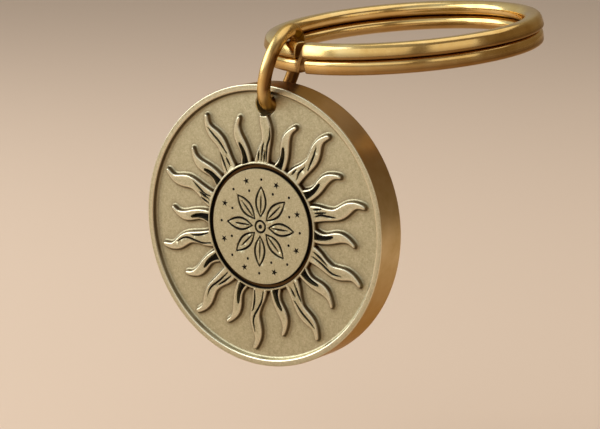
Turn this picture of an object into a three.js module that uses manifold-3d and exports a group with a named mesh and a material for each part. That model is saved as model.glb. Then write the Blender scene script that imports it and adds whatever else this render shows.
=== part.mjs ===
// A brass key chain: a thick round medallion hangs by a small jump ring from a two-turn split ring.
// Units are millimetres and +Z is up. The medallion's front faces -Y.
// The origin is the centre of the split ring, which a key or a hand holds.
// The pose is the one at rest: the medallion's middle hangs straight below its own hole.

import * as THREE from 'three';
import { mergeVertices } from 'three/addons/utils/BufferGeometryUtils.js';
import Module from 'manifold-3d';

const wasm = await Module();
wasm.setup();

// Split ring: two turns of rounded flat wire, cranked from the lower turn to the upper one
const splitDiameter = 29.5;
const splitWireWidth = 2;
const splitWireHeight = 1.34;
const splitTurnGap = 0.36;
const splitCorner = 0.62;
const splitTurns = 2;
const splitCrankDeg = 12;
const splitEndGapDeg = 2;
const splitCrankAtDeg = -103;
const splitTiltXDeg = 5.25;
const splitTiltYDeg = -4.5;
const splitStepsPerTurn = 60;
const splitSidesPerCorner = 3;

// Jump ring: round wire bent to a ring, its two cut ends almost touching
const jumpDiameter = 9.5;
const jumpWire = 1.4;
const jumpEndGap = 0.3;
const jumpSeamDeg = 62;
const jumpYawDeg = 12.5;
const jumpTiltDeg = 12.85;
const jumpSteps = 48;
const jumpSides = 12;
const jumpAtDeg = -122;

// Clearances of the jump ring on what it links
const seatGap = 0.5;
const seatLead = -0.2;
const holeLead = 0.14;
const holeRise = 0.22;

// Medallion: a disc with a raised rim, a sun in relief and a hole at the top
const discDiameter = 30;
const discThickness = 3.8;
const discChamfer = 0.2;
const rimWidth = 0.68;
const rimSlope = 0.12;
const reliefHeight = 0.5;
const holeDiameter = 2.6;
const holeInset = 2.05;
const holeFrontChamfer = 0.2;
const holeBackChamfer = 0.25;
const discSegments = 96;
const holeSegments = 32;

// The sun on the front: a plain boss, a sunk ring round it and a ring of wavy rays
const bossDiameter = 12.36;
const grooveWidth = 0.44;
const collarWidth = 0.28;
const rayPairs = 10;
const longTipInset = 1.62;
const shortTipInset = 3.22;
const sunTurnDeg = 2;

// A cut goes this far past the face that it starts from, and a joined piece this far into its base
const overrun = 0.3;

// Ray outlines, from foot to tip and back to the other foot.
// Each point is a share of the way from foot to tip, and a share of one ray's pitch round the sun.
const longRayShares = [
  [0, -0.57], [0.17, -0.39], [0.32, -0.2], [0.42, -0.14], [0.52, -0.18], [0.68, -0.24],
  [0.82, -0.2], [0.93, -0.09], [1, 0], [0.9, -0.02], [0.8, 0], [0.69, 0.09],
  [0.57, 0.2], [0.45, 0.24], [0.32, 0.25], [0.17, 0.24], [0, 0.24],
];
const shortRayShares = [
  [0, -0.39], [0.14, -0.26], [0.24, -0.23], [0.45, -0.31], [0.57, -0.33], [0.71, -0.28],
  [0.86, -0.18], [1, 0], [0.86, -0.03], [0.71, -0.03], [0.57, 0.03], [0.45, 0.11],
  [0.24, 0.2], [0, 0.23], [0, 0.06], [0.24, 0.02], [0.35, -0.04], [0.46, -0.14],
  [0.24, -0.15], [0.14, -0.18], [0, -0.26],
];

const brass = { colour: 0xc9a658, roughness: 0.3, metalness: 1 };
const satinBrass = { colour: 0xb5a472, roughness: 0.5, metalness: 1 };

const rad = THREE.MathUtils.degToRad;
const fullTurnDeg = 360;

// Turns a closed geometry into a solid that can be joined and cut
function solidFrom(geometry) {
  const bare = geometry.clone();
  bare.deleteAttribute('normal');
  bare.deleteAttribute('uv');
  const merged = mergeVertices(bare);
  const mesh = new wasm.Mesh({
    numProp: 3,
    vertProperties: new Float32Array(merged.attributes.position.array),
    triVerts: new Uint32Array(merged.index.array),
  });
  mesh.merge();
  return new wasm.Manifold(mesh);
}

// Turns a solid back into a geometry with flat faces
function geometryFrom(solid) {
  const mesh = solid.getMesh();
  const geometry = new THREE.BufferGeometry();
  const places = new Float32Array(mesh.numVert * 3);
  for (let i = 0; i < mesh.numVert; i += 1) {
    for (let k = 0; k < 3; k += 1) places[3 * i + k] = mesh.vertProperties[mesh.numProp * i + k];
  }
  geometry.setAttribute('position', new THREE.BufferAttribute(places, 3));
  geometry.setIndex(new THREE.BufferAttribute(new Uint32Array(mesh.triVerts), 1));
  geometry.computeVertexNormals();
  return geometry;
}

// Joins a row of rings of points, each with as many points, into one closed tube with flat ends
function tubeThrough(rings) {
  const sides = rings[0].length;
  const places = rings.flat().flatMap((point) => [point.x, point.y, point.z]);
  const faces = [];
  for (let i = 0; i + 1 < rings.length; i += 1) {
    for (let k = 0; k < sides; k += 1) {
      const a = i * sides + k;
      const b = i * sides + ((k + 1) % sides);
      faces.push(a, b, a + sides, b, b + sides, a + sides);
    }
  }
  const last = (rings.length - 1) * sides;
  for (let k = 1; k + 1 < sides; k += 1) {
    faces.push(0, k + 1, k);
    faces.push(last, last + k, last + k + 1);
  }
  const geometry = new THREE.BufferGeometry();
  geometry.setAttribute('position', new THREE.Float32BufferAttribute(places, 3));
  geometry.setIndex(faces);
  geometry.computeVertexNormals();
  return geometry;
}

// The least gap between the surfaces of a coil's turns, measured from point to point
function leastGap(rings, turnRings) {
  let least = Infinity;
  for (let i = 0; i < rings.length; i += 1) {
    for (let j = i + turnRings; j < rings.length; j += 1) {
      for (const a of rings[i]) {
        for (const b of rings[j]) least = Math.min(least, a.distanceTo(b));
      }
    }
  }
  return least;
}

function finish(look) {
  return new THREE.MeshStandardMaterial({
    color: look.colour,
    roughness: look.roughness,
    metalness: look.metalness,
  });
}

// The wire's section, a rectangle with round corners: x across the ring, y along its axis
function splitSection() {
  const corners = [[1, 1], [-1, 1], [-1, -1], [1, -1]];
  const acrossFlat = splitWireWidth / 2 - splitCorner;
  const alongFlat = splitWireHeight / 2 - splitCorner;
  const points = [];
  corners.forEach(([across, along], quarter) => {
    for (let i = 0; i < splitSidesPerCorner; i += 1) {
      const turn = (Math.PI / 2) * (quarter + i / (splitSidesPerCorner - 1));
      points.push(new THREE.Vector2(
        across * acrossFlat + splitCorner * Math.cos(turn),
        along * alongFlat + splitCorner * Math.sin(turn),
      ));
    }
  });
  return points.reverse();
}

const splitMeanRadius = (splitDiameter - splitWireWidth) / 2;
const splitStackHeight = splitTurns * splitWireHeight + (splitTurns - 1) * splitTurnGap;

// Height of the wire's middle at an angle from the start of the lower turn
function splitHeightAt(angleDeg) {
  const lower = -(splitWireHeight + splitTurnGap) / 2;
  const crankStart = fullTurnDeg - splitCrankDeg;
  const along = THREE.MathUtils.clamp((angleDeg - crankStart) / splitCrankDeg, 0, 1);
  return lower * Math.cos(Math.PI * along);
}

function makeSplitRing() {
  const section = splitSection();
  const firstDeg = splitEndGapDeg;
  const lastDeg = splitTurns * fullTurnDeg - splitCrankDeg - splitEndGapDeg;
  const steps = Math.round(((lastDeg - firstDeg) / fullTurnDeg) * splitStepsPerTurn);
  const rings = [];
  const addRing = (angleDeg) => {
    const turn = rad(splitCrankAtDeg + splitCrankDeg / 2 + angleDeg);
    rings.push(section.map((point) => new THREE.Vector3(
      (splitMeanRadius + point.x) * Math.cos(turn),
      (splitMeanRadius + point.x) * Math.sin(turn),
      splitHeightAt(angleDeg) + point.y,
    )));
  };
  for (let i = 0; i <= steps; i += 1) {
    addRing(firstDeg + ((lastDeg - firstDeg) * i) / steps);
  }
  const nearTurn = Math.floor(splitStepsPerTurn * 0.9);
  console.log(`split ring: least gap between its turns ${leastGap(rings, nearTurn).toFixed(2)} mm`);
  return tubeThrough(rings);
}

const jumpMeanRadius = (jumpDiameter - jumpWire) / 2;

// The jump ring lies in its own YZ plane, and the seam angle is counted from +Y up to +Z
function makeJumpRing() {
  const gapTurn = jumpEndGap / jumpMeanRadius;
  const startTurn = rad(jumpSeamDeg) + gapTurn / 2;
  const sweep = 2 * Math.PI - gapTurn;
  const rings = [];
  for (let i = 0; i <= jumpSteps; i += 1) {
    const turn = startTurn + (sweep * i) / jumpSteps;
    const ring = [];
    for (let k = 0; k < jumpSides; k += 1) {
      const around = (2 * Math.PI * k) / jumpSides;
      const radius = jumpMeanRadius + (jumpWire / 2) * Math.cos(around);
      ring.push(new THREE.Vector3(
        -(jumpWire / 2) * Math.sin(around),
        radius * Math.cos(turn),
        radius * Math.sin(turn),
      ));
    }
    rings.push(ring);
  }
  return tubeThrough(rings);
}

const discRadius = discDiameter / 2;
const frontY = -discThickness / 2;
const backY = discThickness / 2;
const fieldY = frontY + reliefHeight;
const collarRadius = bossDiameter / 2 + grooveWidth + collarWidth;
const holeCentreRadius = discRadius - holeInset;

// The turned blank: back, edge, rim, sunk field, collar, groove and boss, about the Y axis
function discBlank() {
  const bossRadius = bossDiameter / 2;
  const grooveOuter = bossRadius + grooveWidth;
  const rimInner = discRadius - rimWidth;
  const profile = [
    [0, backY],
    [discRadius - discChamfer, backY],
    [discRadius, backY - discChamfer],
    [discRadius, frontY + discChamfer],
    [discRadius - discChamfer, frontY],
    [rimInner, frontY],
    [rimInner - rimSlope, fieldY],
    [collarRadius, fieldY],
    [collarRadius, frontY],
    [grooveOuter, frontY],
    [grooveOuter, fieldY],
    [bossRadius, fieldY],
    [bossRadius, frontY],
    [0, frontY],
  ];
  const points = profile.map(([radius, y]) => new THREE.Vector2(radius, y)).reverse();
  return solidFrom(new THREE.LatheGeometry(points, discSegments));
}

// One ray, standing on the field and reaching a little into the collar
function ray(shares, tipRadius, tipDeg) {
  const pitchDeg = fullTurnDeg / (2 * rayPairs);
  const footRadius = collarRadius - collarWidth / 2;
  const outline = shares.map(([out, across]) => {
    const radius = footRadius + out * (tipRadius - footRadius);
    const turn = rad(tipDeg + across * pitchDeg);
    return new THREE.Vector2(radius * Math.sin(turn), radius * Math.cos(turn));
  });
  const body = new THREE.ExtrudeGeometry(new THREE.Shape(outline), {
    depth: reliefHeight + overrun,
    bevelEnabled: false,
  });
  body.rotateX(Math.PI / 2);
  body.translate(0, fieldY + overrun, 0);
  return solidFrom(body);
}

// The hole's cutter: a bore that flares at both faces, about the Y axis
function holeCutter() {
  const bore = holeDiameter / 2;
  const profile = [
    [0, frontY - overrun],
    [bore + holeFrontChamfer, frontY - overrun],
    [bore + holeFrontChamfer, fieldY],
    [bore, fieldY + holeFrontChamfer],
    [bore, backY - holeBackChamfer],
    [bore + holeBackChamfer + overrun, backY + overrun],
    [0, backY + overrun],
  ];
  const points = profile.map(([radius, y]) => new THREE.Vector2(radius, y));
  const cutter = new THREE.LatheGeometry(points, holeSegments);
  cutter.translate(0, 0, holeCentreRadius);
  return solidFrom(cutter);
}

function makeMedallion() {
  const pitchDeg = fullTurnDeg / (2 * rayPairs);
  let solid = discBlank();
  for (let i = 0; i < rayPairs; i += 1) {
    const longDeg = sunTurnDeg + (fullTurnDeg * i) / rayPairs;
    solid = solid.add(ray(longRayShares, discRadius - longTipInset, longDeg));
    solid = solid.add(ray(shortRayShares, discRadius - shortTipInset, longDeg - pitchDeg));
  }
  return geometryFrom(solid.subtract(holeCutter()));
}

// Where the pieces hang: the jump ring on the split ring, and the medallion on the jump ring
const splitTilt = new THREE.Euler(rad(splitTiltXDeg), rad(splitTiltYDeg), 0);
const jumpTilt = new THREE.Euler(0, rad(jumpTiltDeg), rad(jumpYawDeg), 'ZYX');
const jumpForward = new THREE.Vector3(0, 1, 0).applyEuler(jumpTilt);
const jumpUp = new THREE.Vector3(0, 0, 1).applyEuler(jumpTilt);
const seat = new THREE.Vector3(
  splitMeanRadius * Math.cos(rad(jumpAtDeg)),
  splitMeanRadius * Math.sin(rad(jumpAtDeg)),
  0,
).applyEuler(splitTilt);
const jumpCentre = seat.clone()
  .addScaledVector(jumpUp, -(jumpMeanRadius - jumpWire / 2 - splitStackHeight / 2 - seatGap))
  .addScaledVector(jumpForward, seatLead);
const holeCentre = jumpCentre.clone()
  .addScaledVector(jumpUp, -(jumpMeanRadius - holeRise))
  .addScaledVector(jumpForward, holeLead);
const medallionCentre = holeCentre.clone().add(new THREE.Vector3(0, 0, -holeCentreRadius));

const keyChain = new THREE.Group();

const splitRing = new THREE.Mesh(makeSplitRing(), finish(brass));
splitRing.name = 'split_ring';
splitRing.rotation.copy(splitTilt);
keyChain.add(splitRing);

const jumpRing = new THREE.Mesh(makeJumpRing(), finish(brass));
jumpRing.name = 'jump_ring';
jumpRing.position.copy(jumpCentre);
jumpRing.rotation.copy(jumpTilt);
keyChain.add(jumpRing);

const medallion = new THREE.Mesh(makeMedallion(), finish(satinBrass));
medallion.name = 'medallion';
medallion.position.copy(medallionCentre);
keyChain.add(medallion);

export default keyChain;
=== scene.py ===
# A brass key chain: a satin medallion with a sun in relief, a jump ring and a split ring.
# Sizes are in millimetres and become metres when a mesh is made.
# The medallion's front is drawn flat round its middle, with x to its right and y up. w is the depth
# below the rim.

import math

import bpy
import numpy as np
from mathutils import Matrix, Vector
from mathutils.bvhtree import BVHTree
from mathutils.geometry import delaunay_2d_cdt


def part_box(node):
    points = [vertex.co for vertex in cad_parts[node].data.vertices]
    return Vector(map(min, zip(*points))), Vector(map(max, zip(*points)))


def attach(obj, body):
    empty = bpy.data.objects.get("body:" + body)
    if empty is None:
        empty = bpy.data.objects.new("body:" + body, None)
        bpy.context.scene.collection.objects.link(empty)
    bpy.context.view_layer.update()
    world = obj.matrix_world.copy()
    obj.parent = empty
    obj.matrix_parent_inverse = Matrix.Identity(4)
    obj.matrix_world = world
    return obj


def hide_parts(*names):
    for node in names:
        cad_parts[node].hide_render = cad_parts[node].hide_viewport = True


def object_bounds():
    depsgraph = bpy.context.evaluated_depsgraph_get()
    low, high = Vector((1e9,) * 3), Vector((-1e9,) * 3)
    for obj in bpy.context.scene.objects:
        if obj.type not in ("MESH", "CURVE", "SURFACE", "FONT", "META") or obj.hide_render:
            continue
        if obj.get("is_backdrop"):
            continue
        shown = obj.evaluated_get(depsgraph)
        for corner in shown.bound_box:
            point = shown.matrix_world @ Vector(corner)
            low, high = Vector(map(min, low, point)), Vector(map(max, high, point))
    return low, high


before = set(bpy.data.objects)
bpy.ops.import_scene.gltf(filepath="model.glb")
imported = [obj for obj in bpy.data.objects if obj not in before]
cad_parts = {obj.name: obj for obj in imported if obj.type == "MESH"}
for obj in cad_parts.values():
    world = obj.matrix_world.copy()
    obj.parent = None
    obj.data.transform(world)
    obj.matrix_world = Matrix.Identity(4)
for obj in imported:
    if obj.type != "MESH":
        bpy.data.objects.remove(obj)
cad_low, cad_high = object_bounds()

MM = 0.001
FULL_TURN = 2 * math.pi
TINY = 1e-9

# Medallion
DISC_RADIUS = 15.0
DISC_THICKNESS = 3.8
EDGE_ROUND = 0.14
RIM_WALL_RADIUS = 14.3
RELIEF_HEIGHT = 0.5
EDGE_RADIUS_TOP = 0.2
EDGE_RADIUS_FOOT = 0.26
WALL_LEAN = math.radians(67)
FADE = 0.5
BOSS_RADIUS = 6.16
GROOVE_WIDTH = 0.46
GROOVE_DEPTH = 0.42
GROOVE_WALL = 0.14
WALL_INSIDE_SHARE = 0.65
COLLAR_WIDTH = 0.28
HOLE_RADIUS = 1.23
HOLE_ROUND = 0.14
HOLE_BACK_ROUND = 0.2
HOLE_CENTRE = 12.95
HOLE_PLACE = (0, HOLE_CENTRE)
RAY_PAIRS = 10
LONG_TIP = 13.38
SHORT_TIP = 11.78
SUN_TURN = math.radians(2)
STROKE_WIDTH = 0.19
LINE_WIDTH = 0.2
LINE_DEPTH = 0.12
LINE_WALL = 0.035
PIT_DEPTH = 0.42
PIT_WALL = 0.07

ARC_DROP_SHARE = 1 - math.cos(WALL_LEAN)
TOP_ARC = EDGE_RADIUS_TOP * math.sin(WALL_LEAN)
FOOT_ARC = EDGE_RADIUS_FOOT * math.sin(WALL_LEAN)
STRAIGHT_DROP = RELIEF_HEIGHT - (EDGE_RADIUS_TOP + EDGE_RADIUS_FOOT) * ARC_DROP_SHARE
STRAIGHT = STRAIGHT_DROP / math.tan(WALL_LEAN)
FILLET = STRAIGHT + FOOT_ARC
EDGE_RADIUS = DISC_RADIUS - EDGE_ROUND
GROOVE_OUTER = BOSS_RADIUS + GROOVE_WIDTH
GROOVE_MIDDLE = (BOSS_RADIUS + GROOVE_OUTER) / 2
GROOVE_FLOOR_HALF = GROOVE_WIDTH / 2 - GROOVE_WALL * WALL_INSIDE_SHARE
COLLAR_RADIUS = GROOVE_OUTER + COLLAR_WIDTH
FOOT_RADIUS = COLLAR_RADIUS - COLLAR_WIDTH / 2
PITCH = FULL_TURN / (2 * RAY_PAIRS)

# Outlines as shares: how far out from foot to tip, and how far round in pitches
LONG_SHARES = [
    (0, -0.57), (0.05, -0.54), (0.17, -0.4), (0.26, -0.27), (0.34, -0.19), (0.42, -0.15),
    (0.5, -0.175), (0.58, -0.215), (0.66, -0.24), (0.74, -0.235), (0.82, -0.205),
    (0.89, -0.155), (0.945, -0.105), (0.98, -0.065), (0.999, -0.015), (0.99, 0.03), (0.96, 0.04),
    (0.905, 0.012), (0.84, -0.01), (0.78, 0.015), (0.71, 0.085), (0.64, 0.155), (0.57, 0.21),
    (0.49, 0.245), (0.41, 0.255), (0.32, 0.25), (0.2, 0.24), (0.08, 0.245), (0, 0.26),
]
SHORT_SHARES = [
    (0, -0.43), (0.06, -0.36), (0.15, -0.27), (0.25, -0.235), (0.35, -0.265), (0.45, -0.31),
    (0.55, -0.33), (0.65, -0.32), (0.75, -0.27), (0.85, -0.185), (0.925, -0.105), (0.97, -0.05),
    (0.998, 0.01), (0.99, 0.055), (0.955, 0.065), (0.91, 0.035), (0.85, -0.01), (0.77, -0.03),
    (0.67, -0.015), (0.58, 0.025), (0.49, 0.08), (0.4, 0.13), (0.3, 0.18), (0.2, 0.215),
    (0.1, 0.235), (0, 0.24),
]
GAP_SHARES = [
    (0.02, 0.065), (0.12, 0.05), (0.2, 0.03), (0.28, 0), (0.36, -0.05), (0.42, -0.1),
    (0.465, -0.15), (0.45, -0.185), (0.38, -0.175), (0.3, -0.15), (0.22, -0.145),
    (0.14, -0.165), (0.08, -0.21), (0.02, -0.27),
]
FLOW_LINES = [
    [
        [(0.04, -0.33), (0.19, -0.26)],
        [(0.04, -0.14), (0.25, -0.09), (0.33, -0.03)],
        [(0.04, 0.02), (0.19, 0.02)],
        [(0.04, 0.14), (0.28, 0.12), (0.43, 0.19), (0.57, 0.15)],
    ],
    [
        [(0.05, -0.32), (0.17, -0.26)],
        [(0.06, 0.03), (0.17, -0.07), (0.31, -0.02)],
        [(0.32, 0.16), (0.46, 0.06), (0.58, -0.01), (0.7, -0.1)],
    ],
    [
        [(0.04, -0.35), (0.2, -0.27)],
        [(0.05, -0.17), (0.27, -0.08)],
        [(0.05, 0), (0.16, -0.03), (0.3, 0.07), (0.43, 0.15)],
    ],
    [
        [(0.04, -0.32), (0.18, -0.2), (0.33, -0.06)],
        [(0.04, -0.08), (0.23, 0), (0.42, 0.1), (0.52, 0.09), (0.61, 0.03)],
    ],
    [
        [(0.04, -0.3), (0.34, -0.14)],
        [(0.08, 0), (0.23, 0)],
        [(0.28, 0.11), (0.49, 0.04), (0.65, -0.05), (0.8, -0.11)],
    ],
    [
        [(0.04, -0.36), (0.19, -0.26), (0.34, -0.07), (0.44, 0.05), (0.55, 0.08), (0.7, 0)],
        [(0.04, 0.14), (0.19, 0.1), (0.34, 0.13), (0.38, 0.18)],
    ],
]
FLOW_ORDER = [0, 1, 2, 3, 4, 5, 3, 5, 2, 4]

# Rosette on the boss, with its petals as shares of their swell and length
PETALS = 8
PETAL_FOOT = 1.05
PETAL_TIP = 4.25
PETAL_SWELL = 0.62
PETAL_SHARES = [(0, 0), (0.75, 0.25), (1, 0.5), (0.66, 0.77), (0, 1)]
PETAL_END_SHARE = 0.6
RIB_FOOT = 1.5
RIB_TIP = 3.35
RIB_WIDTH_SHARE = 0.8
EYE_RADIUS = 0.62
EYE_WIDTH_SHARE = 0.9
EYE_DOT_SHARE = 1.6
STAR_RING = 5.02
STAR_RADIUS = 0.42
STAR_WAIST_SHARE = 0.4
STAR_POINTS = 5
DOT_RADIUS = 0.15
INNER_DOT_RING = 3.95

# Jump ring
JUMP_DIAMETER = 9.5
JUMP_WIRE = 1.38
JUMP_LIFT = 0.03
JUMP_YAW = math.radians(12.5)
JUMP_TILT = math.radians(12.85)
JUMP_SEAM = math.radians(62)
JUMP_SEAM_GAP = 0.05
JUMP_SEAM_ROUND = 0.1
JUMP_ROUND_SHARES = [0.0, 0.25, 0.55, 0.85, 1.0]
JUMP_STEPS = 240
JUMP_SIDES = 40

# Split ring
SPLIT_DIAMETER = 29.5
SPLIT_WIDTH = 2.0
SPLIT_TURN_HEIGHT = 1.56
SPLIT_TURN_GAP = 0.01
SPLIT_TILT_X = math.radians(5.25)
SPLIT_TILT_Y = math.radians(-4)
SPLIT_LIFT = 0.09
OUTER_TOP_POWER = 3.1
OUTER_FOOT_POWER = 5.5
INNER_POWER = 2.2
UPPER_LEAN = 0.23
LOWER_LEAN = 0.04
CRANK_AT = math.radians(-104.6)
CRANK_SPAN = math.radians(4.6)
END_GAP = math.radians(0.25)
END_ROUND = 0.14
SPLIT_STEPS = 1300
SPLIT_SIDES = 56
CRANK_STEPS = 60
END_STEPS = 6
SLOPE_STEP = 1e-4


# Flat geometry
def smooth_line(points, spacing):
    """A smooth curve through the points, cut into steps of about that spacing."""
    p = np.array(points, float)
    p = np.vstack([2 * p[0] - p[1], p, 2 * p[-1] - p[-2]])
    pieces = []
    for a, b, c, d in zip(p[:-3], p[1:-2], p[2:-1], p[3:]):
        steps = max(2, int(math.ceil(np.linalg.norm(c - b) / spacing)))
        t = (np.arange(steps) / steps)[:, None]
        pieces.append(
            0.5
            * (
                2 * b
                + (c - a) * t
                + (2 * a - 5 * b + 4 * c - d) * t**2
                + (3 * b - a - 3 * c + d) * t**3
            )
        )
    pieces.append(p[-2][None])
    return np.vstack(pieces)


def from_shares(shares, tip_radius, turn):
    """Points on the face from shares of one ray, turned to its place clockwise from the top."""
    out, across = np.array(shares, float).T
    radius = FOOT_RADIUS + out * (tip_radius - FOOT_RADIUS)
    angle = turn + across * PITCH
    return np.column_stack([radius * np.sin(angle), radius * np.cos(angle)])


def circle(radius, steps, centre=(0, 0)):
    a = np.arange(steps) * FULL_TURN / steps
    return np.column_stack([centre[0] + radius * np.sin(a), centre[1] + radius * np.cos(a)])


def turned(points, angle):
    c, s = math.cos(angle), math.sin(angle)
    return points @ np.array([[c, -s], [s, c]])


def nearest(points, starts, ends):
    """Distance from each point to the nearest segment, the place on it, and which it is."""
    count = len(starts)
    corners = np.ones((4 * count, 3))
    for i, (ground_points, height) in enumerate(((starts, -1), (ends, -1), (ends, 1), (starts, 1))):
        corners[i::4, :2] = ground_points
        corners[i::4, 2] = height
    walls = BVHTree.FromPolygons(corners.tolist(), [range(i, i + 4) for i in range(0, 4 * count, 4)])
    found = [walls.find_nearest((x, y, 0)) for x, y in points.tolist()]
    place = np.array([f[0][:2] for f in found])
    which = np.array([f[2] for f in found])
    return np.linalg.norm(points - place, axis=1), place, which


def inside(points, polygon):
    """True for the points inside a closed polygon."""
    a = polygon
    b = np.roll(polygon, -1, axis=0)
    result = np.zeros(len(points), bool)
    near = np.nonzero(((points >= a.min(0)) & (points <= a.max(0))).all(1))[0]
    x, y = points[near].T
    above = (a[:, 1] > y[:, None]) != (b[:, 1] > y[:, None])
    rise = np.where(b[:, 1] == a[:, 1], 1, b[:, 1] - a[:, 1])
    cross = (b[:, 0] - a[:, 0]) * (y[:, None] - a[:, 1]) / rise + a[:, 0]
    result[near] = (above & (x[:, None] < cross)).sum(1) % 2 == 1
    return result


def signed(points, polygons):
    """Signed distance to the union of polygons, negative inside, and its gradient."""
    starts = np.vstack(polygons)
    ends = np.vstack([np.roll(p, -1, axis=0) for p in polygons])
    distance, place, _ = nearest(points, starts, ends)
    within = np.zeros(len(points), bool)
    for polygon in polygons:
        within |= inside(points, polygon)
    sign = np.where(within, -1, 1)
    gradient = sign[:, None] * (points - place) / np.maximum(distance, TINY)[:, None]
    return sign * distance, gradient


def radial(points, centre=(0, 0)):
    away = points - np.array(centre, float)
    r = np.linalg.norm(away, axis=1)
    return r, away / np.maximum(r, TINY)[:, None]


# Shapes on the face
OUTLINE_STEP = 0.1
NEIGHBOURS = (-1, 0, 1, 2)
long_rays = []
short_rays = []
gaps = []
for k in range(RAY_PAIRS):
    turn = SUN_TURN + FULL_TURN * k / RAY_PAIRS
    for outlines, shares, tip, place in (
        (long_rays, LONG_SHARES, LONG_TIP, turn),
        (short_rays, SHORT_SHARES, SHORT_TIP, turn - PITCH),
        (gaps, GAP_SHARES, SHORT_TIP, turn - PITCH),
    ):
        outlines.append(smooth_line(from_shares(shares, tip, place), OUTLINE_STEP))
folded_rays = [turned(r, s * 2 * PITCH) for r in (long_rays[0], short_rays[0]) for s in NEIGHBOURS]
folded_gaps = [turned(gaps[0], s * 2 * PITCH) for s in NEIGHBOURS]


def folded_distance(points, outlines):
    """Signed distance to outlines that repeat round the face, measured in the first pair's sector."""
    angle = np.arctan2(points[:, 0], points[:, 1])
    step = np.round((angle - SUN_TURN) / (2 * PITCH)) * 2 * PITCH
    c, s = np.cos(step), np.sin(step)
    x, y = points.T
    distance, gradient = signed(np.column_stack([x * c - y * s, x * s + y * c]), outlines)
    x, y = gradient.T
    return distance, np.column_stack([x * c + y * s, -x * s + y * c])


# Engraved lines: middle lines with a half width at each point, thin at both ends
LINE_STEP = 0.12
LINE_FOOT_SHARE = 0.55
LINE_TIP_SHARE = 0.25
LINE_BODY_POWER = 0.45
EYE_STEPS = 40
EYE_DOT_STEPS = 18
DOT_STEPS = 14


def tapered(points, width, foot_share=LINE_FOOT_SHARE, tip_share=LINE_TIP_SHARE):
    line = smooth_line(points, LINE_STEP)
    t = np.linspace(0, 1, len(line))
    body = np.sin(np.pi * t) ** LINE_BODY_POWER
    ends = foot_share * (1 - t) + tip_share * t
    return line, width / 2 * np.maximum(body, ends)


lines = []
for k in range(RAY_PAIRS):
    turn = SUN_TURN + FULL_TURN * k / RAY_PAIRS
    for stroke in FLOW_LINES[FLOW_ORDER[k]]:
        lines.append(tapered(from_shares(stroke, LONG_TIP, turn), STROKE_WIDTH))
for k in range(PETALS):
    turn = FULL_TURN * k / PETALS
    for side in (-1, 1):
        petal = [
            (side * PETAL_SWELL * wide, PETAL_FOOT + along * (PETAL_TIP - PETAL_FOOT))
            for wide, along in PETAL_SHARES
        ]
        lines.append(tapered(turned(np.array(petal), -turn), LINE_WIDTH, PETAL_END_SHARE, PETAL_END_SHARE))
    rib = [(0, RIB_FOOT), (0, (RIB_FOOT + RIB_TIP) / 2), (0, RIB_TIP)]
    lines.append(tapered(turned(np.array(rib), -turn), LINE_WIDTH * RIB_WIDTH_SHARE))
eye = circle(EYE_RADIUS, EYE_STEPS)
eye = np.vstack([eye, eye[:1]])
lines.append((eye, np.full(len(eye), LINE_WIDTH * EYE_WIDTH_SHARE / 2)))

spots = []
for k in range(2 * PETALS):
    turn = FULL_TURN * k / (2 * PETALS)
    way = np.array([math.sin(turn), math.cos(turn)])
    if k % 2:
        arms = []
        for i in range(2 * STAR_POINTS):
            reach = STAR_RADIUS * (STAR_WAIST_SHARE if i % 2 else 1)
            a = turn + i * math.pi / STAR_POINTS
            arms.append(STAR_RING * way + reach * np.array([math.sin(a), math.cos(a)]))
        spots.append(np.array(arms))
        spots.append(circle(DOT_RADIUS, DOT_STEPS, INNER_DOT_RING * way))
    else:
        spots.append(circle(DOT_RADIUS, DOT_STEPS, STAR_RING * way))
spots.append(circle(DOT_RADIUS * EYE_DOT_SHARE, EYE_DOT_STEPS))

line_starts = np.vstack([l[:-1] for l, _ in lines])
line_ends = np.vstack([l[1:] for l, _ in lines])
line_half = np.concatenate([(h[:-1] + h[1:]) / 2 for _, h in lines])


def line_distance(points):
    distance, place, which = nearest(points, line_starts, line_ends)
    gradient = (points - place) / np.maximum(distance, TINY)[:, None]
    return distance - line_half[which], gradient


# Depth of the face
HOLE_LEAN_LIMIT = 0.995


def step_curve(t):
    """A smooth step from 0 to 1, and its slope."""
    t = np.clip(t, 0, 1)
    return t**3 * (t * (6 * t - 15) + 10), 30 * (t * (1 - t)) ** 2


def relief_depth(s):
    """Depth and slope beside an edge: a round top, a steep wall and a round foot."""
    top = np.clip((s + TOP_ARC) / EDGE_RADIUS_TOP, 0, math.sin(WALL_LEAN))
    foot = np.clip((FILLET - s) / EDGE_RADIUS_FOOT, 0, math.sin(WALL_LEAN))
    top_depth = EDGE_RADIUS_TOP * (1 - np.sqrt(1 - top**2))
    foot_rise = EDGE_RADIUS_FOOT * (1 - np.sqrt(1 - foot**2))
    straight = np.clip(s, 0, STRAIGHT) * math.tan(WALL_LEAN)
    lower = s > STRAIGHT
    depth = np.where(lower, RELIEF_HEIGHT - foot_rise, top_depth + straight)
    lean = np.where(lower, foot, top)
    return depth, lean / np.sqrt(1 - lean**2)


def cut_depth(s, depth, wall):
    """Depth of a cut with a flat floor where s is under 0, and a wall round it of that width."""
    value, slope = step_curve(1 - s / wall)
    return depth * value, -depth * slope / wall


def raised_distance(points):
    """Signed distance to all that stands on the field: rays, collar and rim."""
    r, away = radial(points)
    ray_s, ray_g = folded_distance(points, folded_rays)
    s = np.column_stack([ray_s, r - COLLAR_RADIUS, RIM_WALL_RADIUS - r])
    g = np.stack([ray_g, away, -away], axis=1)
    best = s.argmin(1)
    rows = np.arange(len(points))
    return s[rows, best], g[rows, best]


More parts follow.
